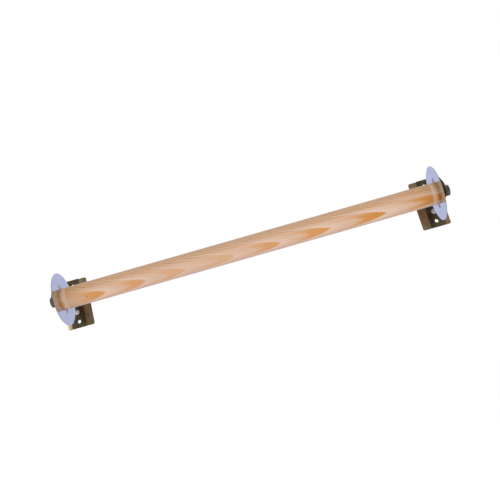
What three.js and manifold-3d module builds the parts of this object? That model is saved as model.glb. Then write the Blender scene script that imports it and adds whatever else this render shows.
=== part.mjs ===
// Pull up bar: a round wooden bar with a polished guard disc at each end, carried by two
// folded wall brackets that swivel on the end bolts.
// Millimetres, +Z up. X runs along the bar, Y = 0 is the wall, and the bar is in front of it at -Y.
import * as THREE from 'three';
import * as BufferGeometryUtils from 'three/addons/utils/BufferGeometryUtils.js';
import Module from 'manifold-3d';

const wasm = await Module();
wasm.setup();

// ---- driving dimensions ----
const gap = 0.3; // clearance between neighbouring pieces

const barLength = 671;
const barRadius = 19;
const barChamfer = 0.5;
const barAxisToWall = 58;
const boltRadius = 5;
const boltLength = 40; // under the head
const boltHeadAcrossFlats = 17;
const boltHeadHeight = 6.4;

const insertRadius = 8;
const insertLength = 26;
const insertThreadDepth = 0.7;
const insertThreadCount = 7;
const boreDepth = 34;

const discRadius = 47.5;
const discThickness = 1.2;
const discScrewCircle = 23.2; // radius of the circle the two disc screws sit on
const discScrewLean = Math.PI / 9; // the screw line leans forward from the vertical
const discScrewRadius = 2;
const discScrewHeadRadius = 3.7;
const discScrewHeadHeight = 1.7;

const hubPlateRadius = 28;
const hubPlateThickness = 3;
const hubBossRadius = 13;

const washerRadius = 10;
const washerThickness = 1.6;

const plateWidth = 50;
const plateHeight = 90;
const plateThickness = 2.5;
const plateCornerRadius = 3;
const plateInboard = 27; // from the disc's inner face to the plate's edge nearer the middle of the bar

const angleThickness = 2.5;
const angleBaseWidth = 26.5;
const bendRadius = 2.5; // inside radius of the fold
const noseRadius = 20; // rounded nose of the flange, about the bolt
const noseSlope = THREE.MathUtils.degToRad(44); // slope of the flange's upper edge
const flangeUnderside = 11.5; // below the bolt's axis
const noseCornerRadius = 3;
const reliefHeight = 2;

const wallHoleRadius = 3.3;
const wallHoleSpacing = 68;
const countersinkRadius = 5.6;
const rivetSpacing = 34;
const rivetRadius = 2.4;
const rivetHeadRadius = 4.4;
const rivetHeadHeight = 1.7;

// Stations along the bolt, outboard from the disc's inner face.
const hubStart = discThickness + gap;
const hubEnd = 9.2;
const innerWasherStart = hubEnd + gap;
const flangeStart = innerWasherStart + washerThickness + gap;
const flangeEnd = flangeStart + angleThickness;
const outerWasherStart = flangeEnd + gap;
const boltHeadStart = outerWasherStart + washerThickness + gap;
const boreRadius = boltRadius + gap;

// ---- materials ----
function finish(color, roughness, metalness) {
  return new THREE.MeshStandardMaterial({ color, roughness, metalness });
}
const materials = {
  pine: () => finish(0xdcb48a, 0.45, 0.0),
  mirrorSteel: () => finish(0xc9cbd8, 0.06, 1.0),
  polishedPlate: () => finish(0x8f8878, 0.2, 1.0),
  zincPlated: () => finish(0xb9bcc0, 0.32, 1.0),
  darkBolt: () => finish(0x6b6a68, 0.35, 1.0),
  nylon: () => finish(0xe6e2d6, 0.5, 0.0),
  brass: () => finish(0xb9975a, 0.35, 1.0),
};

// ---- solids ----
function solid(geometry) {
  const bare = geometry.clone();
  bare.deleteAttribute('normal');
  bare.deleteAttribute('uv');
  const merged = BufferGeometryUtils.mergeVertices(bare, 1e-4);
  const mesh = new wasm.Mesh({
    numProp: 3,
    vertProperties: new Float32Array(merged.attributes.position.array),
    triVerts: new Uint32Array(merged.index.array),
  });
  return new wasm.Manifold(mesh);
}

function geometryOf(manifold) {
  const mesh = manifold.getMesh();
  const geometry = new THREE.BufferGeometry();
  geometry.setAttribute('position', new THREE.BufferAttribute(mesh.vertProperties, 3));
  geometry.setIndex(new THREE.BufferAttribute(mesh.triVerts, 1));
  geometry.computeVertexNormals();
  return geometry;
}

// A solid of revolution about X. Each profile point is [distance along X, radius].
function turned(profile, segments, side = 1) {
  const points = profile.map(([along, radius]) => new THREE.Vector2(radius, along));
  const geometry = new THREE.LatheGeometry(points, segments);
  geometry.rotateZ(-side * Math.PI / 2);
  return geometry;
}

// A closed ring profile of radii inner..outer between two stations, its outer edges broken.
function ringProfile(start, end, inner, outer, edge) {
  return [
    [start, inner],
    [start, outer - edge],
    [start + edge, outer],
    [end - edge, outer],
    [end, outer - edge],
    [end, inner],
    [start, inner],
  ];
}

function ring(start, end, inner, outer, edge, segments, side) {
  return turned(ringProfile(start, end, inner, outer, edge), segments, side);
}

// A plain rod along X, used as a drill.
function rodAlongX(radius, from, to, y, z, segments = 32) {
  const geometry = new THREE.CylinderGeometry(radius, radius, Math.abs(to - from), segments);
  geometry.rotateZ(Math.PI / 2);
  geometry.translate((from + to) / 2, y, z);
  return geometry;
}

function rodAlongY(radiusFront, radiusBack, from, to, x, z, segments = 32) {
  const geometry = new THREE.CylinderGeometry(radiusBack, radiusFront, to - from, segments);
  geometry.translate(x, (from + to) / 2, z);
  return geometry;
}

function box(x0, x1, y0, y1, z0, z1) {
  const geometry = new THREE.BoxGeometry(Math.abs(x1 - x0), Math.abs(y1 - y0), Math.abs(z1 - z0));
  geometry.translate((x0 + x1) / 2, (y0 + y1) / 2, (z0 + z1) / 2);
  return geometry;
}

// ---- the bar and what is screwed into its ends ----
function woodenBar() {
  const half = barLength / 2;
  const bore = insertRadius + gap;
  const profile = [
    [boreDepth - half, 0],
    [boreDepth - half, bore],
    [-half, bore],
    [-half, barRadius - barChamfer],
    [barChamfer - half, barRadius],
    [half - barChamfer, barRadius],
    [half, barRadius - barChamfer],
    [half, bore],
    [half - boreDepth, bore],
    [half - boreDepth, 0],
  ];
  return turned(profile, 72);
}

// Threaded insert: coarse wood thread outside, bolt bore inside.
function threadedInsert(side) {
  const start = -insertLength;
  const end = -gap;
  const pitch = (end - start - 4) / insertThreadCount;
  const profile = [[start, boreRadius]];
  profile.push([start, insertRadius - insertThreadDepth]);
  for (let i = 0; i < insertThreadCount; i += 1) {
    const root = start + 2 + i * pitch;
    profile.push([root, insertRadius - insertThreadDepth]);
    profile.push([root + pitch / 2, insertRadius]);
  }
  profile.push([end - 2, insertRadius - insertThreadDepth]);
  profile.push([end, insertRadius - insertThreadDepth]);
  profile.push([end, boreRadius]);
  profile.push([start, boreRadius]);
  return turned(profile, 32, side);
}

// Centres of the two disc screws, one above the bar and one below it.
function discScrewCentre(level) {
  return {
    y: -level * discScrewCircle * Math.sin(discScrewLean),
    z: level * discScrewCircle * Math.cos(discScrewLean),
  };
}

function drillDiscScrewHoles(body, side) {
  let drilled = body;
  for (const level of [1, -1]) {
    const { y, z } = discScrewCentre(level);
    const drill = rodAlongX(discScrewRadius + gap, -1, hubEnd + 1, y, z, 24);
    if (side < 0) {
      drill.translate(-hubEnd, 0, 0);
    }
    drilled = drilled.subtract(solid(drill));
  }
  return drilled;
}

function guardDisc(side) {
  const edge = discThickness / 4;
  const blank = solid(ring(0, discThickness, boreRadius, discRadius, edge, 120, side));
  return geometryOf(drillDiscScrewHoles(blank, side));
}

// Hub that the disc is screwed to: a round plate with a boss that spaces it off the bracket.
function discHub(side) {
  const plateEnd = hubStart + hubPlateThickness;
  const profile = [
    [hubStart, boreRadius],
    [hubStart, hubPlateRadius - 0.5],
    [hubStart + 0.5, hubPlateRadius],
    [plateEnd - 0.5, hubPlateRadius],
    [plateEnd, hubPlateRadius - 0.5],
    [plateEnd, hubBossRadius + 1.5],
    [plateEnd + 0.5, hubBossRadius + 0.5],
    [plateEnd + 1.5, hubBossRadius],
    [hubEnd - 0.6, hubBossRadius],
    [hubEnd, hubBossRadius - 0.6],
    [hubEnd, boreRadius],
    [hubStart, boreRadius],
  ];
  return geometryOf(drillDiscScrewHoles(solid(turned(profile, 64, side)), side));
}

// Domed head with a cross recess on the bar's side of the disc, shank through to the hub.
function discScrew(side) {
  const underHead = -gap;
  const top = underHead - discScrewHeadHeight;
  const shankEnd = hubStart + hubPlateThickness + 1;
  const profile = [
    [top, 0],
    [top + 0.15, discScrewHeadRadius * 0.5],
    [top + 0.6, discScrewHeadRadius * 0.85],
    [underHead - 0.4, discScrewHeadRadius],
    [underHead, discScrewHeadRadius],
    [underHead, discScrewRadius],
    [shankEnd - 0.6, discScrewRadius],
    [shankEnd, discScrewRadius - 0.6],
    [shankEnd, 0],
  ];
  const slotHalf = 0.4;
  const slotReach = 2.1;
  const slotFrom = side * (top - 1);
  const slotTo = side * (top + 1);
  const across = solid(box(slotFrom, slotTo, -slotHalf, slotHalf, -slotReach, slotReach));
  const along = solid(box(slotFrom, slotTo, -slotReach, slotReach, -slotHalf, slotHalf));
  return geometryOf(solid(turned(profile, 24, side)).subtract(across).subtract(along));
}

function washer(start, side) {
  return ring(start, start + washerThickness, boreRadius, washerRadius, 0.3, 48, side);
}

// Hexagon head bolt, its corners turned off at the outer face.
function endBolt(side) {
  const headEnd = boltHeadStart + boltHeadHeight;
  const cornerRadius = boltHeadAcrossFlats / 2 / Math.cos(Math.PI / 6);
  const hexagon = new THREE.CylinderGeometry(cornerRadius, cornerRadius, boltHeadHeight, 6);
  hexagon.rotateZ(-side * Math.PI / 2);
  hexagon.translate(side * (boltHeadStart + boltHeadHeight / 2), 0, 0);
  const turnedOff = [
    [boltHeadStart - 1, 0],
    [boltHeadStart - 1, cornerRadius + 0.4],
    [headEnd - 1.1, cornerRadius + 0.4],
    [headEnd, boltHeadAcrossFlats / 2 - 0.3],
    [headEnd, 0],
  ];
  const shankStart = boltHeadStart - boltLength;
  const shank = [
    [shankStart, 0],
    [shankStart, boltRadius - 1],
    [shankStart + 1, boltRadius],
    [boltHeadStart + 1, boltRadius],
    [boltHeadStart + 1, 0],
  ];
  const head = solid(hexagon).intersect(solid(turned(turnedOff, 48, side)));
  return geometryOf(head.add(solid(turned(shank, 32, side))));
}

// ---- the brackets ----
// Everything below is laid out from the bolt's axis: +y towards the wall, x outboard times side.
const plateFront = barAxisToWall - plateThickness;
const angleBack = plateFront - gap;
const angleFront = angleBack - angleThickness;
const angleInboard = flangeEnd - angleBaseWidth;
const holeLine = 0; // the wall holes and rivets are in the plane of the disc's inner face

// Rectangle with round corners in the X-Z plane, extruded from y0 to y1.
function roundedSlab(x0, x1, z0, z1, radius, y0, y1) {
  const shape = new THREE.Shape();
  shape.moveTo(x0 + radius, z0);
  shape.lineTo(x1 - radius, z0);
  shape.absarc(x1 - radius, z0 + radius, radius, -Math.PI / 2, 0, false);
  shape.lineTo(x1, z1 - radius);
  shape.absarc(x1 - radius, z1 - radius, radius, 0, Math.PI / 2, false);
  shape.lineTo(x0 + radius, z1);
  shape.absarc(x0 + radius, z1 - radius, radius, Math.PI / 2, Math.PI, false);
  shape.lineTo(x0, z0 + radius);
  shape.absarc(x0 + radius, z0 + radius, radius, Math.PI, 1.5 * Math.PI, false);
  const slab = new THREE.ExtrudeGeometry(shape, { depth: y1 - y0, bevelEnabled: false, curveSegments: 8 });
  slab.rotateX(Math.PI / 2);
  slab.translate(0, y1, 0);
  return slab;
}

function drillWallHoles(body, side, sunk) {
  let drilled = body;
  const x = side * holeLine;
  for (const level of [1, -1]) {
    const z = level * wallHoleSpacing / 2;
    const through = rodAlongY(wallHoleRadius, wallHoleRadius, angleFront - 1, barAxisToWall + 1, x, z);
    drilled = drilled.subtract(solid(through));
    if (sunk) {
      const sinkDepth = countersinkRadius - wallHoleRadius;
      const overshoot = 0.5;
      const mouth = countersinkRadius + overshoot;
      const cone = rodAlongY(mouth, wallHoleRadius, angleFront - overshoot, angleFront + sinkDepth, x, z);
      drilled = drilled.subtract(solid(cone));
    }
    const rivetHole = rodAlongY(
      rivetRadius + gap, rivetRadius + gap, angleFront - 1, barAxisToWall + 1, x, level * rivetSpacing / 2, 24,
    );
    drilled = drilled.subtract(solid(rivetHole));
  }
  return drilled;
}

function wallPlate(side) {
  const edges = [-side * plateInboard, side * (plateWidth - plateInboard)].sort((a, b) => a - b);
  const half = plateHeight / 2;
  const slab = roundedSlab(edges[0], edges[1], -half, half, plateCornerRadius, plateFront, barAxisToWall);
  return geometryOf(drillWallHoles(solid(slab), side, false));
}

// The folded section in the X-Y plane: base against the wall plate, flange forward to the nose.
function foldedSection(side) {
  const outer = bendRadius + angleThickness;
  const bendX = flangeEnd - outer;
  const bendY = angleBack - outer;
  const reach = -noseRadius - 1;
  const shape = new THREE.Shape();
  const at = (x, y) => [side * x, y];
  const bendPoints = (radius, from, to) => {
    const steps = 8;
    for (let i = 0; i <= steps; i += 1) {
      const angle = from + (to - from) * (i / steps);
      shape.lineTo(...at(bendX + radius * Math.cos(angle), bendY + radius * Math.sin(angle)));
    }
  };
  shape.moveTo(...at(angleInboard, angleBack));
  bendPoints(outer, Math.PI / 2, 0);
  shape.lineTo(...at(flangeEnd, reach));
  shape.lineTo(...at(flangeStart, reach));
  bendPoints(bendRadius, 0, Math.PI / 2);
  shape.lineTo(...at(angleInboard, angleFront));
  shape.closePath();
  const section = new THREE.ExtrudeGeometry(shape, { depth: plateHeight, bevelEnabled: false });
  section.translate(0, 0, -plateHeight / 2);
  return section;
}

// Outline of the flange seen along the bar: a sloping upper edge, a round nose and a level underside.
function flangeOutline(side) {
  const top = plateHeight / 2;
  const tangent = Math.PI / 2 + noseSlope; // where the slope meets the nose, measured from +y
  const slopeTopY = (top * Math.cos(noseSlope) - noseRadius) / Math.sin(noseSlope);
  const cornerZ = -flangeUnderside + noseCornerRadius;
  const cornerReach = noseRadius - noseCornerRadius;
  const cornerY = -Math.sqrt(cornerReach ** 2 - cornerZ ** 2);
  const noseEnd = Math.PI + Math.atan2(-cornerZ, -cornerY);
  const shape = new THREE.Shape();
  shape.moveTo(barAxisToWall, top);
  shape.lineTo(slopeTopY, top);
  shape.absarc(0, 0, noseRadius, tangent, noseEnd, false);
  shape.absarc(cornerY, cornerZ, noseCornerRadius, noseEnd, 1.5 * Math.PI, false);
  shape.lineTo(barAxisToWall, -flangeUnderside);
  shape.closePath();
  const depth = bendRadius + angleThickness + 1;
  const prism = new THREE.ExtrudeGeometry(shape, { depth, bevelEnabled: false, curveSegments: 20 });
  // Shape axes are y and z; turn them so that the prism's depth lies along X.
  prism.rotateX(Math.PI / 2);
  prism.rotateZ(Math.PI / 2);
  const from = side > 0 ? flangeEnd + 0.5 - depth : -flangeEnd - 0.5;
  prism.translate(from, 0, 0);
  return prism;
}

function angleBracket(side) {
  const half = plateHeight / 2;
  const foldStart = flangeEnd - bendRadius - angleThickness;
  const baseSlab = box(
    side * (angleInboard - 1), side * foldStart, angleFront - 1, angleBack + 1, -half - 1, half + 1,
  );
  const kept = solid(baseSlab).add(solid(flangeOutline(side)));
  const folded = solid(foldedSection(side)).intersect(kept);
  const lowerEdges = [side * (foldStart - 1), side * flangeEnd].sort((a, b) => a - b);
  const lowerTop = -flangeUnderside - reliefHeight;
  const lower = roundedSlab(lowerEdges[0], lowerEdges[1], -half, lowerTop, 0.8, angleFront, angleBack);
  const body = folded.add(solid(lower));
  const relief = box(
    side * foldStart, side * (flangeEnd + 1), angleFront - 1, angleBack + 1,
    lowerTop, -flangeUnderside,
  );
  const boltHole = rodAlongX(boreRadius, side * (flangeStart - 3), side * (flangeEnd + 3), 0, 0);
  const drilled = drillWallHoles(body.subtract(solid(relief)), side, true);
  return geometryOf(drilled.subtract(solid(boltHole)));
}

// Rivet that joins the bracket to the wall plate: domed head in front, tail short of the wall face.
function plateRivet() {
  const headBack = angleFront - gap;
  const headTop = headBack - rivetHeadHeight;
  const tail = barAxisToWall - gap;
  const points = [
    [0, headTop],
    [rivetHeadRadius * 0.45, headTop + 0.2],
    [rivetHeadRadius * 0.8, headTop + 0.7],
    [rivetHeadRadius, headBack - 0.3],
    [rivetHeadRadius, headBack],
    [rivetRadius, headBack],
    [rivetRadius, tail],
    [0, tail],
  ].map(([radius, y]) => new THREE.Vector2(radius, y));
  return new THREE.LatheGeometry(points, 32);
}

// ---- assembly ----
function place(parent, name, geometry, material, position = [0, 0, 0]) {
  const mesh = new THREE.Mesh(geometry, material);
  mesh.name = name;
  mesh.position.set(...position);
  parent.add(mesh);
}

const pullUpBar = new THREE.Group();
const onAxis = new THREE.Group();
onAxis.position.set(0, -barAxisToWall, 0);
pullUpBar.add(onAxis);

place(onAxis, 'wooden_bar', woodenBar(), materials.pine());

for (const [sideName, side] of [['left', -1], ['right', 1]]) {
  const end = new THREE.Group();
  end.position.set(side * barLength / 2, 0, 0);
  onAxis.add(end);
  place(end, `${sideName}_threaded_insert`, threadedInsert(side), materials.brass());
  place(end, `${sideName}_guard_disc`, guardDisc(side), materials.mirrorSteel());
  place(end, `${sideName}_disc_hub`, discHub(side), materials.zincPlated());
  for (const [levelName, level] of [['upper', 1], ['lower', -1]]) {
    const { y, z } = discScrewCentre(level);
    place(end, `${sideName}_disc_screw_${levelName}`, discScrew(side), materials.zincPlated(), [0, y, z]);
  }
  place(end, `${sideName}_inner_washer`, washer(innerWasherStart, side), materials.nylon());
  place(end, `${sideName}_outer_washer`, washer(outerWasherStart, side), materials.zincPlated());
  place(end, `${sideName}_end_bolt`, endBolt(side), materials.darkBolt());
  place(end, `${sideName}_angle_bracket`, angleBracket(side), materials.polishedPlate());
  place(end, `${sideName}_wall_plate`, wallPlate(side), materials.polishedPlate());
  for (const [levelName, level] of [['upper', 1], ['lower', -1]]) {
    const rivetPlace = [side * holeLine, 0, level * rivetSpacing / 2];
    place(end, `${sideName}_plate_rivet_${levelName}`, plateRivet(), materials.zincPlated(), rivetPlace);
  }
}

export default pullUpBar;
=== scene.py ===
import math

import bmesh
import bpy
from mathutils import Matrix, Vector


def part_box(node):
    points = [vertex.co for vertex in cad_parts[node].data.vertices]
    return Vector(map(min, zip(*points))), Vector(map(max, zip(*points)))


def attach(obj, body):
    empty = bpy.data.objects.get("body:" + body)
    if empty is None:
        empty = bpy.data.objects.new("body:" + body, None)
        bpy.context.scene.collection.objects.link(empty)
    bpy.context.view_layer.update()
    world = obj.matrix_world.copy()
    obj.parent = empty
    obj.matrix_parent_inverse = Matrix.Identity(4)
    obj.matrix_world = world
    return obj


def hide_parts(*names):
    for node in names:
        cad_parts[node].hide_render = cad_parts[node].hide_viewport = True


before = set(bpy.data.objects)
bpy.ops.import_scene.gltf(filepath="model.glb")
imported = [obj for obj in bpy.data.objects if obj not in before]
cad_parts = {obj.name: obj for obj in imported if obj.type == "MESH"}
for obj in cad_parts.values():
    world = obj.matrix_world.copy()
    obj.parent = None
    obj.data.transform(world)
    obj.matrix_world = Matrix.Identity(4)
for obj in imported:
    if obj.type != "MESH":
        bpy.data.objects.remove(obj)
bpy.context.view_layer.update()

# ---- places and sizes, in metres, read from the frame ----
MM = 0.001
SIDES = {"left": -1, "right": 1}
LEVELS = {"upper": 1, "lower": -1}

bar_low, bar_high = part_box("wooden_bar")
BAR_RADIUS = (bar_high.z - bar_low.z) / 2
BAR_HALF = (bar_high.x - bar_low.x) / 2
AXIS_Y = (bar_low.y + bar_high.y) / 2
AXIS_Z = (bar_low.z + bar_high.z) / 2


def centre(node):
    low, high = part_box(node)
    return (low + high) / 2


SHEET = 2.5 * MM  # the angle's thickness
FLANGE_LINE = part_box("right_angle_bracket")[1].x - SHEET / 2  # the middle of the flange's thickness
LINE_X = centre("right_plate_rivet_upper").x  # the plane of the disc's inner face, rivets and wall holes


def reach(node):
    """How far a right-hand node starts and ends outboard of the disc's face, and its radius."""
    low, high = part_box("right_" + node)
    return low.x - LINE_X, high.x - LINE_X, (high.z - low.z) / 2


# ---- meshes ----
def filleted(points, steps=4):
    """The corners of an outline; a corner with a third number is rounded to that radius."""
    rounded = []
    for index, (x, y, *fillet) in enumerate(points):
        corner = Vector((x, y))
        if not fillet:
            rounded.append(corner)
            continue
        before = (Vector(points[index - 1][:2]) - corner).normalized()
        after = (Vector(points[(index + 1) % len(points)][:2]) - corner).normalized()
        half = before.angle(after) / 2
        middle = corner + (before + after).normalized() * (fillet[0] / math.sin(half))
        start = corner + before * (fillet[0] / math.tan(half)) - middle
        sweep = start.angle_signed(corner + after * (fillet[0] / math.tan(half)) - middle)
        for step in range(steps + 1):
            turn = Matrix.Rotation(-sweep * step / steps, 2)
            rounded.append(middle + turn @ start)
    return rounded


def arc(x, y, radius, start, end, steps):
    """Points on a circle about (x, y) from one angle to another, in degrees."""
    points = []
    for step in range(steps + 1):
        angle = math.radians(start + (end - start) * step / steps)
        points.append((x + radius * math.cos(angle), y + radius * math.sin(angle)))
    return points


def made_object(name, bm, sharp_angle=35):
    """An object from a bmesh, smooth but for its sharp edges, with its flat faces shaded flat."""
    bmesh.ops.recalc_face_normals(bm, faces=bm.faces)
    mesh = bpy.data.meshes.new(name)
    bm.to_mesh(mesh)
    bm.free()
    mesh.shade_smooth()
    mesh.set_sharp_from_angle(angle=math.radians(sharp_angle))
    made = bpy.data.objects.new(name, mesh)
    bpy.context.collection.objects.link(made)
    normals = made.modifiers.new("flat_faces", "WEIGHTED_NORMAL")
    normals.keep_sharp = True
    return made


def along_bar(side, y=0.0, z=0.0):
    """Places a point (distance outboard of the disc's face, and two offsets from the bolt's axis)."""
    def place(outboard, across, up):
        return Vector((side * (LINE_X + outboard), AXIS_Y + y + across, AXIS_Z + z + up))
    return place


def ring_of(bm, place, along, radius, segments):
    """A ring of points; its station and its radius are numbers, or functions of the angle."""
    if radius == 0.0:
        return [bm.verts.new(place(along, 0.0, 0.0))]
    verts = []
    for step in range(segments):
        angle = 2 * math.pi * step / segments
        station = along(angle) if callable(along) else along
        out = radius(angle) if callable(radius) else radius
        verts.append(bm.verts.new(place(station, out * math.cos(angle), out * math.sin(angle))))
    return verts


def joined_rings(bm, first, second):
    """Faces between two rings of points, either of which may be a single point."""
    count = max(len(first), len(second))
    for step in range(count):
        after = (step + 1) % count
        if len(first) == 1:
            bm.faces.new((first[0], second[step], second[after]))
        elif len(second) == 1:
            bm.faces.new((first[step], second[0], first[after]))
        else:
            bm.faces.new((first[step], second[step], second[after], first[after]))


def turned(bm, profile, segments, place, closed=False):
    """Adds a surface of revolution: profile points are (along the axis, radius)."""
    rings = [ring_of(bm, place, along, radius, segments) for along, radius in profile]
    for first, second in zip(rings, rings[1:]):
        joined_rings(bm, first, second)
    if closed:
        joined_rings(bm, rings[-1], rings[0])


def slab(outline, holes, thickness, edge):
    """A flat sheet in millimetres with rounded edges: (u, v) is the outline's plane, w the depth."""
    curve = bpy.data.curves.new("slab", "CURVE")
    curve.dimensions = "2D"
    curve.fill_mode = "BOTH"
    curve.extrude = thickness / 2 - edge
    curve.bevel_depth = edge
    curve.bevel_resolution = 2
    curve.offset = -edge
    for loop in [outline, *holes]:
        spline = curve.splines.new("POLY")
        spline.points.add(len(loop) - 1)
        for point, (u, v) in zip(spline.points, loop):
            point.co = (u, v, 0.0, 1.0)
        spline.use_cyclic_u = True
    holder = bpy.data.objects.new("slab", curve)
    bpy.context.collection.objects.link(holder)
    solid = bpy.data.meshes.new_from_object(holder.evaluated_get(bpy.context.evaluated_depsgraph_get()))
    bm = bmesh.new()
    bm.from_mesh(solid)
    bpy.data.objects.remove(holder)
    bpy.data.curves.remove(curve)
    bpy.data.meshes.remove(solid)
    bmesh.ops.translate(bm, verts=bm.verts, vec=(0.0, 0.0, thickness / 2))
    bmesh.ops.remove_doubles(bm, verts=bm.verts, dist=1e-4)
    return bm


# ---- camera ----
CAMERA_PLACE = (0.0576, -1.0898, -0.2754)
CAMERA_TURN = (2.98, -14.59, -15.13)  # azimuth, elevation and roll, in degrees
CAMERA_LENS = 44.45
CAMERA_SENSOR = 36.0


def make_camera():
    """The viewpoint: in front, a little to the right and below the bar, and rolled."""
    data = bpy.data.cameras.new("camera")
    data.lens = CAMERA_LENS
    data.sensor_width = CAMERA_SENSOR
    camera = bpy.data.objects.new("camera", data)
    bpy.context.collection.objects.link(camera)
    azimuth, elevation, roll = (math.radians(a) for a in CAMERA_TURN)
    forward = Vector((-math.sin(azimuth) * math.cos(elevation),
                      math.cos(azimuth) * math.cos(elevation), -math.sin(elevation)))
    level_right = forward.cross(Vector((0, 0, 1))).normalized()
    level_up = level_right.cross(forward)
    right = level_right * math.cos(roll) + level_up * math.sin(roll)
    up = right.cross(forward)
    turn = Matrix((right, up, -forward)).transposed().to_4x4()
    camera.matrix_world = Matrix.Translation(CAMERA_PLACE) @ turn
    bpy.context.scene.camera = camera


make_camera()


# ---- materials ----
class Finish:
    """A procedural material: its calls add nodes and give back their outputs."""

    def __init__(self, name, roughness, metallic=0.0):
        self.material = bpy.data.materials.new(name)
        self.material.use_nodes = True
        self.tree = self.material.node_tree
        self.shader = self.tree.nodes["Principled BSDF"]
        self.shader.inputs["Roughness"].default_value = roughness
        self.shader.inputs["Metallic"].default_value = metallic
        self.place = self.node("ShaderNodeTexCoord").outputs["Object"]

    def node(self, kind, **settings):
        made = self.tree.nodes.new(kind)
        for key, value in settings.items():
            setattr(made, key, value)
        return made

    def feed(self, socket, value):
        if isinstance(value, bpy.types.NodeSocket):
            self.tree.links.new(value, socket)
        else:
            socket.default_value = value

    def sets(self, **values):
        for name, value in values.items():
            self.feed(self.shader.inputs[name.replace("_", " ")], value)

    def math(self, operation, *values, clamp=False):
        made = self.node("ShaderNodeMath", operation=operation, use_clamp=clamp)
        for socket, value in zip(made.inputs, values):
            self.feed(socket, value)
        return made.outputs[0]

    def spread(self, value, low, high, to_low=0.0, to_high=1.0, smooth=True):
        """A value's range low..high mapped to another range, and held there outside it."""
        kind = "SMOOTHSTEP" if smooth else "LINEAR"
        made = self.node("ShaderNodeMapRange", interpolation_type=kind)
        for socket, given in zip(made.inputs, (value, low, high, to_low, to_high)):
            self.feed(socket, given)
        return made.outputs[0]

    def stretched(self, *scale):
        made = self.node("ShaderNodeMapping")
        self.feed(made.inputs["Vector"], self.place)
        made.inputs["Scale"].default_value = scale
        return made.outputs[0]

    def noise(self, *scale, detail=3.0, roughness=0.5, distortion=0.0):
        """Noise over the piece, with the number of its features in a metre along X, Y and Z."""
        made = self.node("ShaderNodeTexNoise")
        self.feed(made.inputs["Vector"], self.stretched(*scale))
        made.inputs["Scale"].default_value = 1.0
        made.inputs["Detail"].default_value = detail
        made.inputs["Roughness"].default_value = roughness
        made.inputs["Distortion"].default_value = distortion
        return made.outputs[0]

    def mix(self, factor, first, second, blend="MIX"):
        made = self.node("ShaderNodeMix", data_type="RGBA", blend_type=blend)
        sockets = (made.inputs[0], made.inputs[6], made.inputs[7])
        for socket, value in zip(sockets, (factor, first, second)):
            self.feed(socket, value)
        return made.outputs[2]

    def bump(self, height, strength, depth):
        made = self.node("ShaderNodeBump")
        made.inputs["Strength"].default_value = strength
        made.inputs["Distance"].default_value = depth
        self.feed(made.inputs["Height"], height)
        if self.shader.inputs["Normal"].is_linked:
            self.feed(made.inputs["Normal"], self.shader.inputs["Normal"].links[0].from_socket)
        self.feed(self.shader.inputs["Normal"], made.outputs[0])

    def along_sheet(self):
        """The direction that a sheet was rolled in: level, in the sheet's own plane."""
        normal = self.node("ShaderNodeVectorTransform", vector_type="NORMAL",
                           convert_from="WORLD", convert_to="OBJECT")
        self.feed(normal.inputs[0], self.node("ShaderNodeNewGeometry").outputs["Normal"])
        level = self.node("ShaderNodeVectorMath", operation="CROSS_PRODUCT")
        self.feed(level.inputs[0], normal.outputs[0])
        level.inputs[1].default_value = (0.0, 0.0, 1.0)
        back = self.node("ShaderNodeVectorTransform", vector_type="VECTOR",
                         convert_from="OBJECT", convert_to="WORLD")
        self.feed(back.inputs[0], level.outputs[0])
        return back.outputs[0]

    def worn_and_shaded_edges(self, radius, low=0.02, high=0.16):
        """1 on the piece's outer edges and 0 on its faces: worn edges on some finishes, painted shade on
        the polished sheet.
        """
        soft = self.node("ShaderNodeBevel", samples=6)
        soft.inputs["Radius"].default_value = radius
        facing = self.node("ShaderNodeVectorMath", operation="DOT_PRODUCT")
        self.feed(facing.inputs[0], soft.outputs[0])
        self.feed(facing.inputs[1], self.node("ShaderNodeNewGeometry").outputs["True Normal"])
        return self.spread(self.math("SUBTRACT", 1.0, facing.outputs["Value"]), low, high)


def rgb(red, green, blue):
    """A colour given as 0..255 screen values, as Blender's linear colour."""
    linear = []
    for value in (red, green, blue):
        part = value / 255
        linear.append(part / 12.92 if part <= 0.04045 else ((part + 0.055) / 1.055) ** 2.4)
    return (*linear, 1.0)


# The bar is turned from a board sawn beside the tree's pith, so each growth ring that the
# surface cuts shows as a long tongue along the bar, and as fine lines where it runs beside them.
PITH_OFFSET = Vector((34.5, 28.9))  # from the bar's axis, in Y and Z, in millimetres
RING_DEPTH = 8.0
RING_RUN = 1.23  # rings crossed in the first RING_DEPTH under the outermost line
RING_TURN = 0.77
TONGUE_SPACING = 83.6
TONGUE_START = 102.4
TONGUE_BOW = 43.1
KNOT_FROM_END = 47 * MM
SLOW_MIDDLE = 80.0  # left of the bar's middle, where the growth was slow
SLOW_REACH = 120.0
WOOD_SURFACE = rgb(224, 187, 160)
WOOD_DEEP = rgb(221, 184, 148)
WOOD_STREAK = rgb(222, 172, 132)
WOOD_FINE_LINE = rgb(158, 112, 64)
WOOD_EARLY = rgb(236, 210, 194)
WOOD_NEAR_ENDS = rgb(196, 148, 84)
WOOD_LATE_LEFT = rgb(222, 154, 84)
WOOD_LATE_RIGHT = rgb(208, 134, 50)
WOOD_FIBRE = rgb(176, 122, 78)
# The next colour is painted highlight: the pale band near each end of the bar.
WOOD_KNOT = rgb(150, 84, 34)
WOOD_END_HIGHLIGHT = rgb(236, 214, 204)


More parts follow.
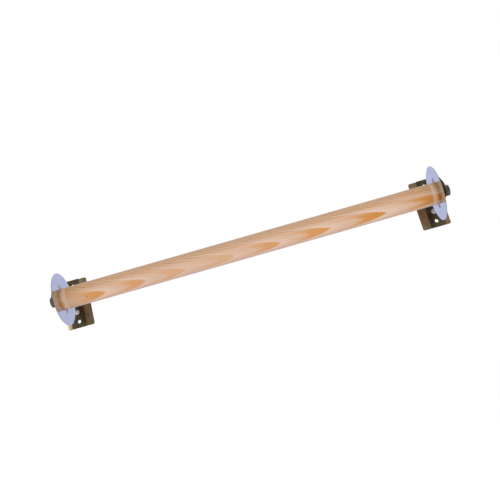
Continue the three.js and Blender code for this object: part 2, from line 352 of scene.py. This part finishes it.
def growth_rings(made, x, y, z):
    """How deep a point lies under the board's outermost line, and its place among the rings."""
    across = made.math("SUBTRACT", y, AXIS_Y / MM + PITH_OFFSET.x)
    up = made.math("SUBTRACT", z, AXIS_Z / MM + PITH_OFFSET.y)
    squares = made.math("ADD", made.math("MULTIPLY", across, across), made.math("MULTIPLY", up, up))
    outermost = PITH_OFFSET.length + BAR_RADIUS / MM
    depth = made.math("SUBTRACT", outermost, made.math("SQRT", squares))
    wander = made.math("SUBTRACT", made.noise(9, 30, 30, detail=3.0, roughness=0.6), 0.5)
    run = made.math("POWER", made.math("DIVIDE", made.math("MAXIMUM", depth, 0.0), RING_DEPTH), RING_TURN)
    run = made.math("MULTIPLY", run, RING_RUN)
    half = BAR_HALF / MM
    bow = made.math("POWER", made.math("ABSOLUTE", made.math("DIVIDE", x, half)), 2.0)
    shifted = made.math("SUBTRACT", made.math("ADD", x, half - TONGUE_START + TONGUE_BOW),
                        made.math("MULTIPLY", bow, TONGUE_BOW))
    ring = made.math("ADD", made.math("DIVIDE", shifted, TONGUE_SPACING), run)
    ring = made.math("ADD", ring, made.math("MULTIPLY", wander, 0.34))
    return depth, made.math("ADD", ring, 20.0), wander


def late_wood(made, ring, dark_from, dark_by, pale_from):
    """The part of each ring that grew late: it darkens slowly outward and ends sharply."""
    part = made.math("FRACT", ring)
    ending = made.spread(part, pale_from, 1.0, 1.0, 0.0)
    return made.math("MULTIPLY", made.spread(part, dark_from, dark_by), ending)


def pine():
    made = Finish("pine", 0.36)
    scaled = made.node("ShaderNodeSeparateXYZ")
    made.feed(scaled.inputs[0], made.stretched(1000, 1000, 1000))
    x, y, z = scaled.outputs
    half = BAR_HALF / MM
    depth, ring, wander = growth_rings(made, x, y, z)
    # Fewer strong rings left of the middle, as in a board whose growth slowed for some years.
    middle = made.math("DIVIDE", made.math("ADD", x, SLOW_MIDDLE), SLOW_REACH)
    slow = made.math("POWER", 2.718, made.math("MULTIPLY", -1.0, made.math("MULTIPLY", middle, middle)))
    strength = made.math("SUBTRACT", 1.0, made.math("MULTIPLY", slow, 0.70))
    strength = made.math("MULTIPLY", strength, made.spread(depth, 0.1, 2.3, 1.0, 0.16))
    late = made.math("MULTIPLY", late_wood(made, ring, 0.42, 0.68, 0.93), strength)
    fine_ring = made.math("ADD", made.math("MULTIPLY", ring, 3.0), made.math("MULTIPLY", wander, 1.4))
    fine = late_wood(made, fine_ring, 0.35, 0.85, 0.88)
    fine = made.math("MULTIPLY", fine, made.spread(depth, 1.2, 6.5, 0.06, 1.0))
    fibre = made.noise(14, 950, 950, detail=3.0, roughness=0.6)
    streak = made.noise(5, 240, 240, detail=3.0, roughness=0.55)

    colour = made.mix(made.spread(depth, 0.0, 13.0), WOOD_SURFACE, WOOD_DEEP)
    colour = made.mix(made.spread(streak, 0.40, 0.72, 0.0, 0.45), colour, WOOD_STREAK)
    colour = made.mix(made.math("MULTIPLY", fine, 0.7), colour, WOOD_FINE_LINE)
    # Early wood is palest just after a ring's sharp end.
    part = made.math("FRACT", ring)
    early = made.math("ADD", made.spread(part, 0.92, 1.0), made.spread(part, 0.0, 0.45, 1.0, 0.0))
    early = made.math("MULTIPLY", early, made.spread(depth, 1.5, 6.0, 0.6, 0.1))
    early = made.math("MULTIPLY", early, made.math("SUBTRACT", 1.0, made.math("MULTIPLY", slow, 0.6)))
    colour = made.mix(early, colour, WOOD_EARLY)
    near_end = made.spread(made.math("ABSOLUTE", x), half - 75.0, half - 8.0, 0.0, 0.45)
    colour = made.mix(near_end, colour, WOOD_NEAR_ENDS)
    rich = made.mix(made.spread(x, 120.0, 330.0), WOOD_LATE_LEFT, WOOD_LATE_RIGHT)
    colour = made.mix(late, colour, rich)
    colour = made.mix(made.spread(fibre, 0.52, 0.75, 0.0, 0.22), colour, WOOD_FIBRE)
    # A pin knot near the left end, low on the front.
    from_knot = made.node("ShaderNodeVectorMath", operation="DISTANCE")
    made.feed(from_knot.inputs[0], made.place)
    from_knot.inputs[1].default_value = (
        KNOT_FROM_END - BAR_HALF, AXIS_Y - BAR_RADIUS * 0.81, AXIS_Z - BAR_RADIUS * 0.59)
    knot = made.spread(from_knot.outputs["Value"], 0.2 * MM, 2.4 * MM, 0.7, 0.0)
    colour = made.mix(knot, colour, WOOD_KNOT)
    # A painted highlight: a pale band near each end of the bar, beside the mirror discs.
    from_end = made.math("SUBTRACT", half, made.math("ABSOLUTE", x))
    wear_and_highlight = made.spread(from_end, 2.0, 6.0)
    wear_and_highlight = made.math("MULTIPLY", wear_and_highlight, made.spread(from_end, 8.5, 12.5, 1.0, 0.0))
    colour = made.mix(made.math("MULTIPLY", wear_and_highlight, 0.5), colour, WOOD_END_HIGHLIGHT)

    sheen = made.spread(made.noise(30, 60, 60), 0.3, 0.7, 0.34, 0.46)
    made.sets(Base_Color=colour, Roughness=made.math("ADD", sheen, made.math("MULTIPLY", late, -0.05)),
              Coat_Weight=0.12, Coat_Roughness=0.3, Specular_IOR_Level=0.3)
    made.bump(fibre, 0.25, 0.06 * MM)
    made.bump(late, 0.3, 0.08 * MM)
    return made.material


def sheared_sides(made):
    """1 on a sheet's cut sides: its own faces look along Y, or along X where it is folded forward."""
    normal = made.node("ShaderNodeSeparateXYZ")
    made.feed(normal.inputs[0], made.node("ShaderNodeTexCoord").outputs["Normal"])
    place = made.node("ShaderNodeSeparateXYZ")
    made.feed(place.inputs[0], made.place)
    outboard = made.math("ABSOLUTE", place.outputs[0])
    from_flange = made.math("ABSOLUTE", made.math("SUBTRACT", outboard, FLANGE_LINE))
    level = made.math("MULTIPLY", made.math("ABSOLUTE", normal.outputs[0]),
                      made.spread(from_flange, 3 * MM, 5 * MM))
    upright = made.math("ABSOLUTE", normal.outputs[2])
    return made.spread(made.math("MAXIMUM", level, upright), 0.6, 0.9)


def mirror_steel():
    made = Finish("mirror_steel", 0.05, metallic=1.0)
    haze = made.noise(34, 34, 34, detail=4.0)
    smudge = made.spread(made.noise(90, 60, 75, detail=2.0, distortion=0.6), 0.56, 0.72)
    clouded = made.spread(haze, 0.3, 0.7)
    colour = made.mix(clouded, (0.60, 0.58, 0.56, 1.0), (0.64, 0.62, 0.60, 1.0))
    colour = made.mix(made.math("MULTIPLY", smudge, 0.25), colour, (0.52, 0.50, 0.49, 1.0))
    made.sets(Base_Color=colour, Roughness=made.math("ADD", made.spread(haze, 0.3, 0.8, 0.03, 0.07),
                                                     made.math("MULTIPLY", smudge, 0.06)))
    return made.material


def polished_steel(name, dark, bright, stained):
    """Rolled and polished sheet, with faint stains. Its cut sides and edges are painted near-black:
    painted shade in place of the dark contact between plate and angle, which is lost where the brackets
    are left out of reflections.
    """
    made = Finish(name, 0.2, metallic=1.0)
    stain = made.noise(42, 42, 42, detail=4.0, distortion=0.8)
    blotch = made.noise(120, 120, 160, detail=3.0, roughness=0.6)
    colour = made.mix(made.spread(stain, 0.35, 0.65), dark, bright)
    colour = made.mix(made.spread(blotch, 0.5, 0.75, 0.0, 0.35), colour, stained)
    rounded = made.math("MULTIPLY", made.worn_and_shaded_edges(0.7 * MM), 0.6)
    painted_edge_shade = made.math("MAXIMUM", sheared_sides(made), rounded)
    # Painted shade: the cut sides and edges are darkened to near-black.
    colour = made.mix(made.math("MULTIPLY", painted_edge_shade, 0.9), colour, (0.06, 0.052, 0.04, 1.0))
    rolled = made.noise(60, 60, 2400, detail=2.0)
    made.sets(Base_Color=colour, Roughness=made.math("ADD", made.spread(stain, 0.3, 0.7, 0.15, 0.22),
                                                     made.math("MULTIPLY", rolled, 0.05)),
              Specular_Tint=(0.30, 0.28, 0.25, 1.0), Anisotropic=0.6, Anisotropic_Rotation=0.25,
              Tangent=made.along_sheet())
    made.bump(made.noise(26, 26, 30, detail=2.0), 0.08, 0.4 * MM)
    made.bump(rolled, 0.1, 0.02 * MM)
    return made.material


def zinc_plate():
    made = Finish("zinc_plate", 0.3, metallic=0.55)
    cloud = made.spread(made.noise(150, 150, 150, detail=3.0, distortion=0.5), 0.3, 0.7)
    colour = made.mix(cloud, (0.64, 0.65, 0.70, 1.0), (0.76, 0.77, 0.80, 1.0))
    wear_and_highlight = made.worn_and_shaded_edges(0.4 * MM)
    colour = made.mix(made.math("MULTIPLY", wear_and_highlight, 0.5), colour, (0.84, 0.84, 0.84, 1.0))
    made.sets(Base_Color=colour, Roughness=made.spread(cloud, 0.0, 1.0, 0.24, 0.36))
    made.bump(made.noise(160, 160, 160, detail=1.0), 0.06, 0.03 * MM)
    return made.material


def bolt_steel():
    made = Finish("bolt_steel", 0.36, metallic=1.0)
    oil = made.noise(130, 130, 130, detail=4.0)
    colour = made.mix(made.spread(oil, 0.35, 0.65), (0.12, 0.115, 0.11, 1.0), (0.26, 0.25, 0.24, 1.0))
    wear_and_highlight = made.worn_and_shaded_edges(0.5 * MM)
    colour = made.mix(made.math("MULTIPLY", wear_and_highlight, 0.75), colour, (0.55, 0.54, 0.52, 1.0))
    made.sets(Base_Color=colour, Roughness=made.spread(oil, 0.3, 0.7, 0.28, 0.44))
    made.bump(made.noise(700, 700, 700), 0.25, 0.04 * MM)
    return made.material


def nylon():
    made = Finish("nylon", 0.48)
    mottle = made.noise(220, 220, 220, detail=3.0)
    colour = made.mix(made.spread(mottle, 0.3, 0.7), rgb(232, 228, 214), rgb(240, 238, 228))
    roughness = made.spread(mottle, 0.3, 0.7, 0.42, 0.54)
    made.sets(Base_Color=colour, Roughness=roughness, Subsurface_Weight=0.1)
    made.bump(mottle, 0.1, 0.03 * MM)
    return made.material


def brass():
    made = Finish("brass", 0.3, metallic=1.0)
    turning = made.noise(2600, 60, 60, detail=1.0)
    tarnish = made.noise(150, 150, 150, detail=4.0)
    colour = made.mix(made.spread(tarnish, 0.35, 0.7), (0.74, 0.54, 0.24, 1.0), (0.52, 0.36, 0.15, 1.0))
    made.sets(Base_Color=colour, Roughness=made.spread(tarnish, 0.3, 0.7, 0.24, 0.38))
    made.bump(turning, 0.2, 0.02 * MM)
    return made.material


FINISHES = {
    "varnished_pine": pine(),
    "mirror_steel": mirror_steel(),
    # The plate's warm bronze tones are painted reflection: the brown of the wooden bar and the dim room,
    # which the polished sheet mirrors.
    "polished_steel": polished_steel(
        "plate_steel", (0.38, 0.33, 0.25, 1.0), (0.50, 0.44, 0.34, 1.0), (0.28, 0.23, 0.17, 1.0)),
    "zinc_plated_steel": zinc_plate(),
    "bolt_steel": bolt_steel(),
    "nylon": nylon(),
    "brass": brass(),
}


# A darker copy of the plate's steel for the angle: painted shade, since the angle is the same polished
# sheet.
SHADED_ANGLE_STEEL = polished_steel(
    "shaded_angle_steel", (0.13, 0.12, 0.09, 1.0), (0.21, 0.19, 0.14, 1.0), (0.09, 0.08, 0.06, 1.0))


def settle(piece, slot_name, body, *nodes, material=None):
    """Gives a finished piece its material, its body and the CAD nodes it stands for."""
    piece.data.materials.clear()
    piece.data.materials.append(material or FINISHES[slot_name])
    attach(piece, body)
    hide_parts(*nodes)


# ---- the bar and the pieces on its ends ----
BORE_DEPTH = 34 * MM
BORE_RADIUS = 8.3 * MM
END_EDGE = 0.25 * MM  # the broken edge at each end of the bar
BOLT_HOLE = 5.3 * MM


def make_bar():
    """The bar: a bore in each end, and its edges broken where they meet the discs."""
    profile = [
        (BORE_DEPTH - BAR_HALF, 0.0), (BORE_DEPTH - BAR_HALF, BORE_RADIUS), (-BAR_HALF, BORE_RADIUS),
        (-BAR_HALF, BAR_RADIUS, END_EDGE), (BAR_HALF, BAR_RADIUS, END_EDGE),
        (BAR_HALF, BORE_RADIUS), (BAR_HALF - BORE_DEPTH, BORE_RADIUS), (BAR_HALF - BORE_DEPTH, 0.0),
    ]
    points = [tuple(point) for point in filleted(profile)]
    bm = bmesh.new()
    turned(bm, points, 144, lambda along, across, up: Vector((along, AXIS_Y + across, AXIS_Z + up)))
    settle(made_object("pine_bar", bm), "varnished_pine", "bar", "wooden_bar")


def make_ring(name, node, slot_name, side, body, fillet, segments=64):
    """A flat ring on the bolt: a disc or a washer, its outer edges rounded."""
    start, end, radius = reach(node)
    outer_edges = [(start, radius, fillet), (end, radius, fillet)]
    profile = filleted([(start, BOLT_HOLE), *outer_edges, (end, BOLT_HOLE)])
    bm = bmesh.new()
    turned(bm, profile, segments, along_bar(side), closed=True)
    settle(made_object(name, bm), slot_name, body, f"{name_of(side)}_{node}")


def name_of(side):
    return "left" if side < 0 else "right"


HUB_BOSS = 13 * MM
HUB_PLATE = 3 * MM
HUB_EDGE = 0.8 * MM
HUB_ROOT = 1.5 * MM  # the fillet where the boss meets the plate


def make_hub(name, side):
    """A round plate that the disc is screwed to, with a boss that faces the bracket."""
    start, end, radius = reach("disc_hub")
    face = start + HUB_PLATE
    profile = filleted([
        (start, BOLT_HOLE), (start, radius, HUB_EDGE), (face, radius, HUB_EDGE),
        (face, HUB_BOSS, HUB_ROOT), (end, HUB_BOSS, HUB_EDGE), (end, BOLT_HOLE),
    ], steps=5)
    bm = bmesh.new()
    turned(bm, profile, 96, along_bar(side), closed=True)
    settle(made_object(f"{name}_hub", bm), "zinc_plated_steel", "bar", f"{name}_disc_hub")


RECESS_HALF = 0.55 * MM
RECESS_REACH = 2.1 * MM
RECESS_DEPTH = 0.9 * MM
SCREW_SHANK = 2 * MM
SCREW_SEAT = -0.01 * MM  # just clear of the disc's face, so that the two don't share a plane
SCREW_RIM = 0.3 * MM  # the recess stays this far from the head's seat


def recess(across, up):
    """Depth of a pressed cross recess at a point on a screw's head."""
    deepest = 0.0
    for side_on, reaching in ((across, up), (up, across)):
        wall = min(max(1.6 - 1.6 * abs(side_on) / RECESS_HALF, 0.0), 1.0)
        deepest = max(deepest, wall * max(1.0 - (abs(reaching) / RECESS_REACH) ** 2, 0.0))
    return RECESS_DEPTH * deepest


def make_disc_screw(name, side, level_name):
    """Pan-head screw with a cross recess, its head on the bar's side of the disc."""
    node = f"{name}_disc_screw_{level_name}"
    start, end, radius = reach(f"disc_screw_{level_name}")
    middle = centre(node)
    place = along_bar(side, middle.y - AXIS_Y, middle.z - AXIS_Z)
    dome = []
    for step in range(25):
        out = radius * step / 24
        dome.append((start + (SCREW_SEAT - start) * 0.75 * (out / radius) ** 3.2, out))
    lower = filleted([
        dome[-1], (SCREW_SEAT, radius, 0.25 * MM), (SCREW_SEAT, SCREW_SHANK),
        (end, SCREW_SHANK, 0.5 * MM), (end, 0.0),
    ])

    def dented(along, across, up):
        depth = recess(across, up) if along < SCREW_SEAT - SCREW_RIM else 0.0
        return place(along + depth, across, up)

    bm = bmesh.new()
    turned(bm, dome + [tuple(point) for point in lower[1:]], 48, dented)
    settle(made_object(f"{name}_screw_{level_name}", bm, 60), "zinc_plated_steel", "bar", node)


HEAD_FLATS = 17 * MM
HEAD_HEIGHT = 6.4 * MM
HEAD_CHAMFER = math.radians(30)
THREAD_PITCH = 1.5 * MM
THREAD_DEPTH = 0.55 * MM
THREAD_LENGTH = 26 * MM
BOLT_RADIUS = 5 * MM
WASHER_FACE = 0.4 * MM


def make_end_bolt(name, side):
    """Hexagon bolt: its head chamfered to a circle, a washer face under it, and a rolled thread."""
    start, end, _ = reach("end_bolt")
    crown = HEAD_FLATS / 2 * 0.95
    under = end - HEAD_HEIGHT

    def flat(angle):
        return HEAD_FLATS / 2 / math.cos((angle + math.pi / 6) % (math.pi / 3) - math.pi / 6)

    def chamfered(angle):
        return end - (flat(angle) - crown) * math.tan(HEAD_CHAMFER)

    profile = [
        (end - 0.25 * MM, 0.0), (end - 0.25 * MM, crown * 0.7), (end, crown * 0.78), (end, crown),
        (chamfered, flat), (under + WASHER_FACE, flat), (under + WASHER_FACE, crown), (under, crown),
        (under, BOLT_RADIUS),
    ]
    turns = int(THREAD_LENGTH / THREAD_PITCH)
    for turn in range(turns):
        crest = start + (turns - turn) * THREAD_PITCH
        profile.append((crest, BOLT_RADIUS))
        profile.append((crest - THREAD_PITCH / 2, BOLT_RADIUS - THREAD_DEPTH))
    profile += [(start + 0.2 * MM, BOLT_RADIUS - 0.8 * MM), (start, BOLT_RADIUS - 1.0 * MM), (start, 0.0)]
    bm = bmesh.new()
    turned(bm, profile, 96, along_bar(side))
    settle(made_object(f"{name}_bolt", bm, 25), "bolt_steel", "bar", f"{name}_end_bolt")


# ---- the brackets ----
EDGE = 0.3  # the rest of this section is in millimetres until its points are placed
PLATE_CORNER = 3.0
WALL_HOLE = 3.3
COUNTERSINK = 5.6
RIVET_HOLE = 2.7
BEND_INSIDE = 2.5
BASE_WIDTH = 26.5
NOSE_RADIUS = 20.0
NOSE_SLOPE = 44.0
UNDERSIDE = 11.5
NOSE_CORNER = 3.0
RELIEF = 2.0
WALL_HOLE_UP = 34.0

rivet_low, rivet_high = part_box("right_plate_rivet_upper")
RIVET_UP = (rivet_low.z + rivet_high.z) / 2 / MM - AXIS_Z / MM


def wall_holes(u, radius):
    """The two screw holes and the two rivet holes of a plate, on its line u."""
    holes = []
    for level in LEVELS.values():
        holes.append(arc(u, level * WALL_HOLE_UP, radius, 0, 345, 23))
        holes.append(arc(u, level * RIVET_UP, RIVET_HOLE, 0, 337.5, 15))
    return holes


def make_wall_plate(name, side):
    """Flat backing plate with rounded corners."""
    node = f"{name}_wall_plate"
    low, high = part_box(node)
    start, end = ((abs(x) - LINE_X) / MM for x in ((low.x, high.x) if side > 0 else (high.x, low.x)))
    half = (high.z - low.z) / 2 / MM
    outline = filleted([(u, v, PLATE_CORNER) for u, v in
                        ((start, -half), (end, -half), (end, half), (start, half))], steps=10)
    bm = slab(outline, wall_holes(0.0, WALL_HOLE), (high.y - low.y) / MM, EDGE)
    for vert in bm.verts:
        u, v, w = vert.co
        vert.co = (side * (LINE_X + u * MM), low.y + w * MM, AXIS_Z + v * MM)
    settle(made_object(f"{name}_plate", bm), "polished_steel", f"{name}_bracket", node)


def flange_outline(bolt_u, half, fold_u):
    """The flat blank of the angle: base, relief cut, and flange with its nose about the bolt."""
    corner_v = -UNDERSIDE + NOSE_CORNER
    corner_reach = math.sqrt((NOSE_RADIUS - NOSE_CORNER) ** 2 - corner_v ** 2)
    nose_end = math.degrees(math.atan2(corner_v, corner_reach))
    slope = math.radians(NOSE_SLOPE)
    slope_back = (half * math.cos(slope) - NOSE_RADIUS) / math.sin(slope)
    return [
        (0.0, -half), *arc(BASE_WIDTH - 0.8, -half + 0.8, 0.8, -90, 0, 4),
        *arc(BASE_WIDTH - 0.8, -UNDERSIDE - RELIEF - 0.8, 0.8, 0, 90, 4), (fold_u, -UNDERSIDE - RELIEF),
        (fold_u, -UNDERSIDE), *arc(bolt_u + corner_reach, corner_v, NOSE_CORNER, -90, nose_end, 8),
        *arc(bolt_u, 0.0, NOSE_RADIUS, nose_end, 90 - NOSE_SLOPE, 24)[1:],
        (bolt_u - slope_back, half), (0.0, half),
    ]


def sink_holes(bm, u, thickness):
    """Narrows each screw hole towards the back, which leaves its countersink in front."""
    for vert in bm.verts:
        for level in LEVELS.values():
            away = Vector((vert.co.x - u, vert.co.y - level * WALL_HOLE_UP))
            if away.length < COUNTERSINK + EDGE + 0.1 and vert.co.z > thickness / 2:
                away *= 1 - (COUNTERSINK - WALL_HOLE) / away.length
                vert.co.x, vert.co.y = u + away.x, level * WALL_HOLE_UP + away.y


def make_angle(name, side):
    """Folded angle: a flat blank with its holes, bent round the inside radius of the fold."""
    node = f"{name}_angle_bracket"
    low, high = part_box(node)
    outer = max(abs(low.x), abs(high.x)) / MM - LINE_X / MM
    back = high.y / MM
    half = (high.z - low.z) / 2 / MM
    thickness = SHEET / MM
    fold_u = BASE_WIDTH - BEND_INSIDE - thickness
    fold_length = math.pi / 2 * (BEND_INSIDE + thickness / 2)
    fold_t = outer - BEND_INSIDE - thickness
    fold_y = back - BEND_INSIDE - thickness
    bolt_u = fold_u + fold_length + fold_y - AXIS_Y / MM
    hole_u = BASE_WIDTH - outer
    holes = [*wall_holes(hole_u, COUNTERSINK), arc(bolt_u, 0.0, BOLT_HOLE / MM, 0, 348.75, 31)]
    bm = slab(flange_outline(bolt_u, half, fold_u), holes, thickness, EDGE)
    sink_holes(bm, hole_u, thickness)
    for cut in range(11):
        whole = [*bm.verts, *bm.edges, *bm.faces]
        at = (fold_u + fold_length * cut / 10, 0, 0)
        bmesh.ops.bisect_plane(bm, geom=whole, dist=1e-4, plane_co=at, plane_no=(1, 0, 0))
    for vert in bm.verts:
        u, v, w = vert.co
        if u <= fold_u or v < -UNDERSIDE - RELIEF / 2:
            t, y = outer - BASE_WIDTH + u, back - thickness + w
        elif u <= fold_u + fold_length:
            angle = (u - fold_u) / fold_length * math.pi / 2
            t = fold_t + (BEND_INSIDE + w) * math.sin(angle)
            y = fold_y + (BEND_INSIDE + w) * math.cos(angle)
        else:
            t, y = outer - thickness + w, fold_y - (u - fold_u - fold_length)
        vert.co = (side * (LINE_X + t * MM), y * MM, AXIS_Z + v * MM)
    angle = made_object(f"{name}_angle", bm)
    settle(angle, "polished_steel", f"{name}_bracket", node, material=SHADED_ANGLE_STEEL)


RIVET_SHANK = 2.4 * MM
RIVET_HEAD = 1.7 * MM  # the head's height


def make_rivet(name, level_name):
    """Round-headed rivet through the angle and the plate, with the mark of the setting tool."""
    node = f"{name}_plate_rivet_{level_name}"
    low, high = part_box(node)
    middle = (low + high) / 2
    head = (high.x - low.x) / 2
    profile = [(0.35 * MM, 0.0), (0.28 * MM, head * 0.12), (0.0, head * 0.2)]
    for step in range(1, 15):
        out = head * (0.2 + 0.8 * step / 14)
        profile.append((RIVET_HEAD * 0.82 * ((out / head - 0.2) / 0.8) ** 2.6, out))
    length = high.y - low.y
    profile += [
        (RIVET_HEAD - 0.1 * MM, head), (RIVET_HEAD, head - 0.1 * MM), (RIVET_HEAD, RIVET_SHANK),
        (length - 0.4 * MM, RIVET_SHANK), (length, RIVET_SHANK - 0.4 * MM), (length, 0.0),
    ]

    def place(along, across, up):
        return Vector((middle.x + across, low.y + along, middle.z + up))

    bm = bmesh.new()
    turned(bm, profile, 40, place)
    rivet = made_object(f"{name}_rivet_{level_name}", bm, 50)
    settle(rivet, "zinc_plated_steel", f"{name}_bracket", node)


make_bar()
for side_name, side in SIDES.items():
    make_ring(f"{side_name}_disc", "guard_disc", "mirror_steel", side, "bar", 0.5 * MM, 160)
    make_ring(f"{side_name}_nylon_washer", "inner_washer", "nylon", side, "bar", 0.4 * MM)
    make_ring(f"{side_name}_steel_washer", "outer_washer", "zinc_plated_steel", side, "bar", 0.3 * MM)
    make_hub(side_name, side)
    make_end_bolt(side_name, side)
    make_wall_plate(side_name, side)
    make_angle(side_name, side)
    for level_name in LEVELS:
        make_disc_screw(side_name, side, level_name)
        make_rivet(side_name, level_name)
    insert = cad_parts[f"{side_name}_threaded_insert"]
    insert.data.materials.clear()
    insert.data.materials.append(FINISHES["brass"])


# ---- studio ----
FLOOR_DROP = 0.45  # below the bar's axis
FLOOR_SIZE = 30.0
FLOOR_GLOW = 0.32
ROOM_IN_FRONT = (0.44, 0.36, 0.26, 1.0)
ROOM_BEHIND = (0.64, 0.70, 1.03, 1.0)
BEHIND_FROM, BEHIND_FULL = 0.15, 0.50  # how far a direction turns to +Y for the room behind to show
LIGHT_BELOW, LIGHT_ABOVE = 0.94, 0.74
CARD_X = -0.435  # outboard of the left plate


def make_world():
    """White to the camera and soft light from all round, a little stronger from below.

    Reflections see a cool white behind the wall and a dim room in front of it.
    """
    world = bpy.data.worlds.new("studio")
    world.use_nodes = True
    tree = world.node_tree
    nodes, links = tree.nodes, tree.links
    shade = nodes["Background"]
    path = nodes.new("ShaderNodeLightPath")
    place = nodes.new("ShaderNodeTexCoord")
    split = nodes.new("ShaderNodeSeparateXYZ")
    links.new(place.outputs["Generated"], split.inputs[0])
    behind = nodes.new("ShaderNodeMapRange")
    behind.interpolation_type = "SMOOTHSTEP"
    behind.inputs[1].default_value = BEHIND_FROM
    behind.inputs[2].default_value = BEHIND_FULL
    links.new(split.outputs["Y"], behind.inputs[0])
    room = nodes.new("ShaderNodeMix")
    room.data_type = "RGBA"
    room.inputs[6].default_value = ROOM_IN_FRONT
    room.inputs[7].default_value = ROOM_BEHIND
    links.new(behind.outputs[0], room.inputs[0])
    height = nodes.new("ShaderNodeMapRange")
    for socket, value in zip(height.inputs[1:5], (-1.0, 1.0, LIGHT_BELOW, LIGHT_ABOVE)):
        socket.default_value = value
    links.new(split.outputs["Z"], height.inputs[0])
    glossy = nodes.new("ShaderNodeMix")
    glossy.data_type = "RGBA"
    links.new(height.outputs[0], glossy.inputs[6])
    links.new(path.outputs["Is Glossy Ray"], glossy.inputs[0])
    links.new(room.outputs[2], glossy.inputs[7])
    seen = nodes.new("ShaderNodeMix")
    seen.data_type = "RGBA"
    seen.inputs[7].default_value = (1.0, 1.0, 1.0, 1.0)
    links.new(path.outputs["Is Camera Ray"], seen.inputs[0])
    links.new(glossy.outputs[2], seen.inputs[6])
    links.new(seen.outputs[2], shade.inputs[0])
    bpy.context.scene.world = world


def make_floor():
    """A wide pale light table, bright enough that its far edge melts into the background.

    Diffuse and glossy rays pass it by, so it neither lights the object nor is mirrored in it.
    It still stops light that comes from under it.
    """
    bm = bmesh.new()
    bmesh.ops.create_grid(bm, x_segments=8, y_segments=8, size=FLOOR_SIZE / 2)
    mesh = bpy.data.meshes.new("floor")
    bm.to_mesh(mesh)
    bm.free()
    floor = bpy.data.objects.new("floor", mesh)
    floor.location = (0.0, 0.0, AXIS_Z - FLOOR_DROP)
    bpy.context.collection.objects.link(floor)
    made = Finish("floor", 0.9)
    made.sets(Base_Color=(0.9, 0.9, 0.9, 1.0), Specular_IOR_Level=0.0,
              Emission_Color=(1.0, 1.0, 1.0, 1.0), Emission_Strength=FLOOR_GLOW)
    mesh.materials.append(made.material)
    floor.visible_glossy = False
    floor.visible_diffuse = False


def keep_out_of_reflections():
    """Leaves the brackets out of mirror images, so the discs show only the bar and the room."""
    for name in SIDES:
        for part in ("plate", "angle", "rivet_upper", "rivet_lower"):
            bpy.data.objects[f"{name}_{part}"].visible_glossy = False


def area_light(name, place, aim, width, height, radiance, diffuse, glossy, colour=(1.0, 1.0, 1.0)):
    """A soft box of the given radiance, seen only by the kinds of ray asked for."""
    data = bpy.data.lights.new(name, "AREA")
    data.shape = "RECTANGLE"
    data.size = width
    data.size_y = height
    data.color = colour
    data.energy = radiance * width * height * math.pi
    light = bpy.data.objects.new(name, data)
    light.location = place
    light.rotation_euler = (Vector(aim) - Vector(place)).to_track_quat("-Z", "Y").to_euler()
    light.visible_camera = False
    light.visible_diffuse = diffuse
    light.visible_glossy = glossy
    bpy.context.collection.objects.link(light)


make_world()
make_floor()
keep_out_of_reflections()
# A small card whose mirror image is the pale strip on the left wall plate.
area_light("left_card", (CARD_X, -0.12, -0.03), (CARD_X, 0.0, -0.03), width=0.07, height=0.12,
           radiance=2.2, diffuse=False, glossy=True, colour=(1.0, 0.93, 0.86))
area_light("front_fill", (0.3, -1.7, -0.12), (0.0, 0.0, 0.0), width=1.2, height=0.7,
           radiance=1.9, diffuse=True, glossy=False)
bpy.context.scene.view_settings.view_transform = "Standard"

bpy.context.view_layer.update()
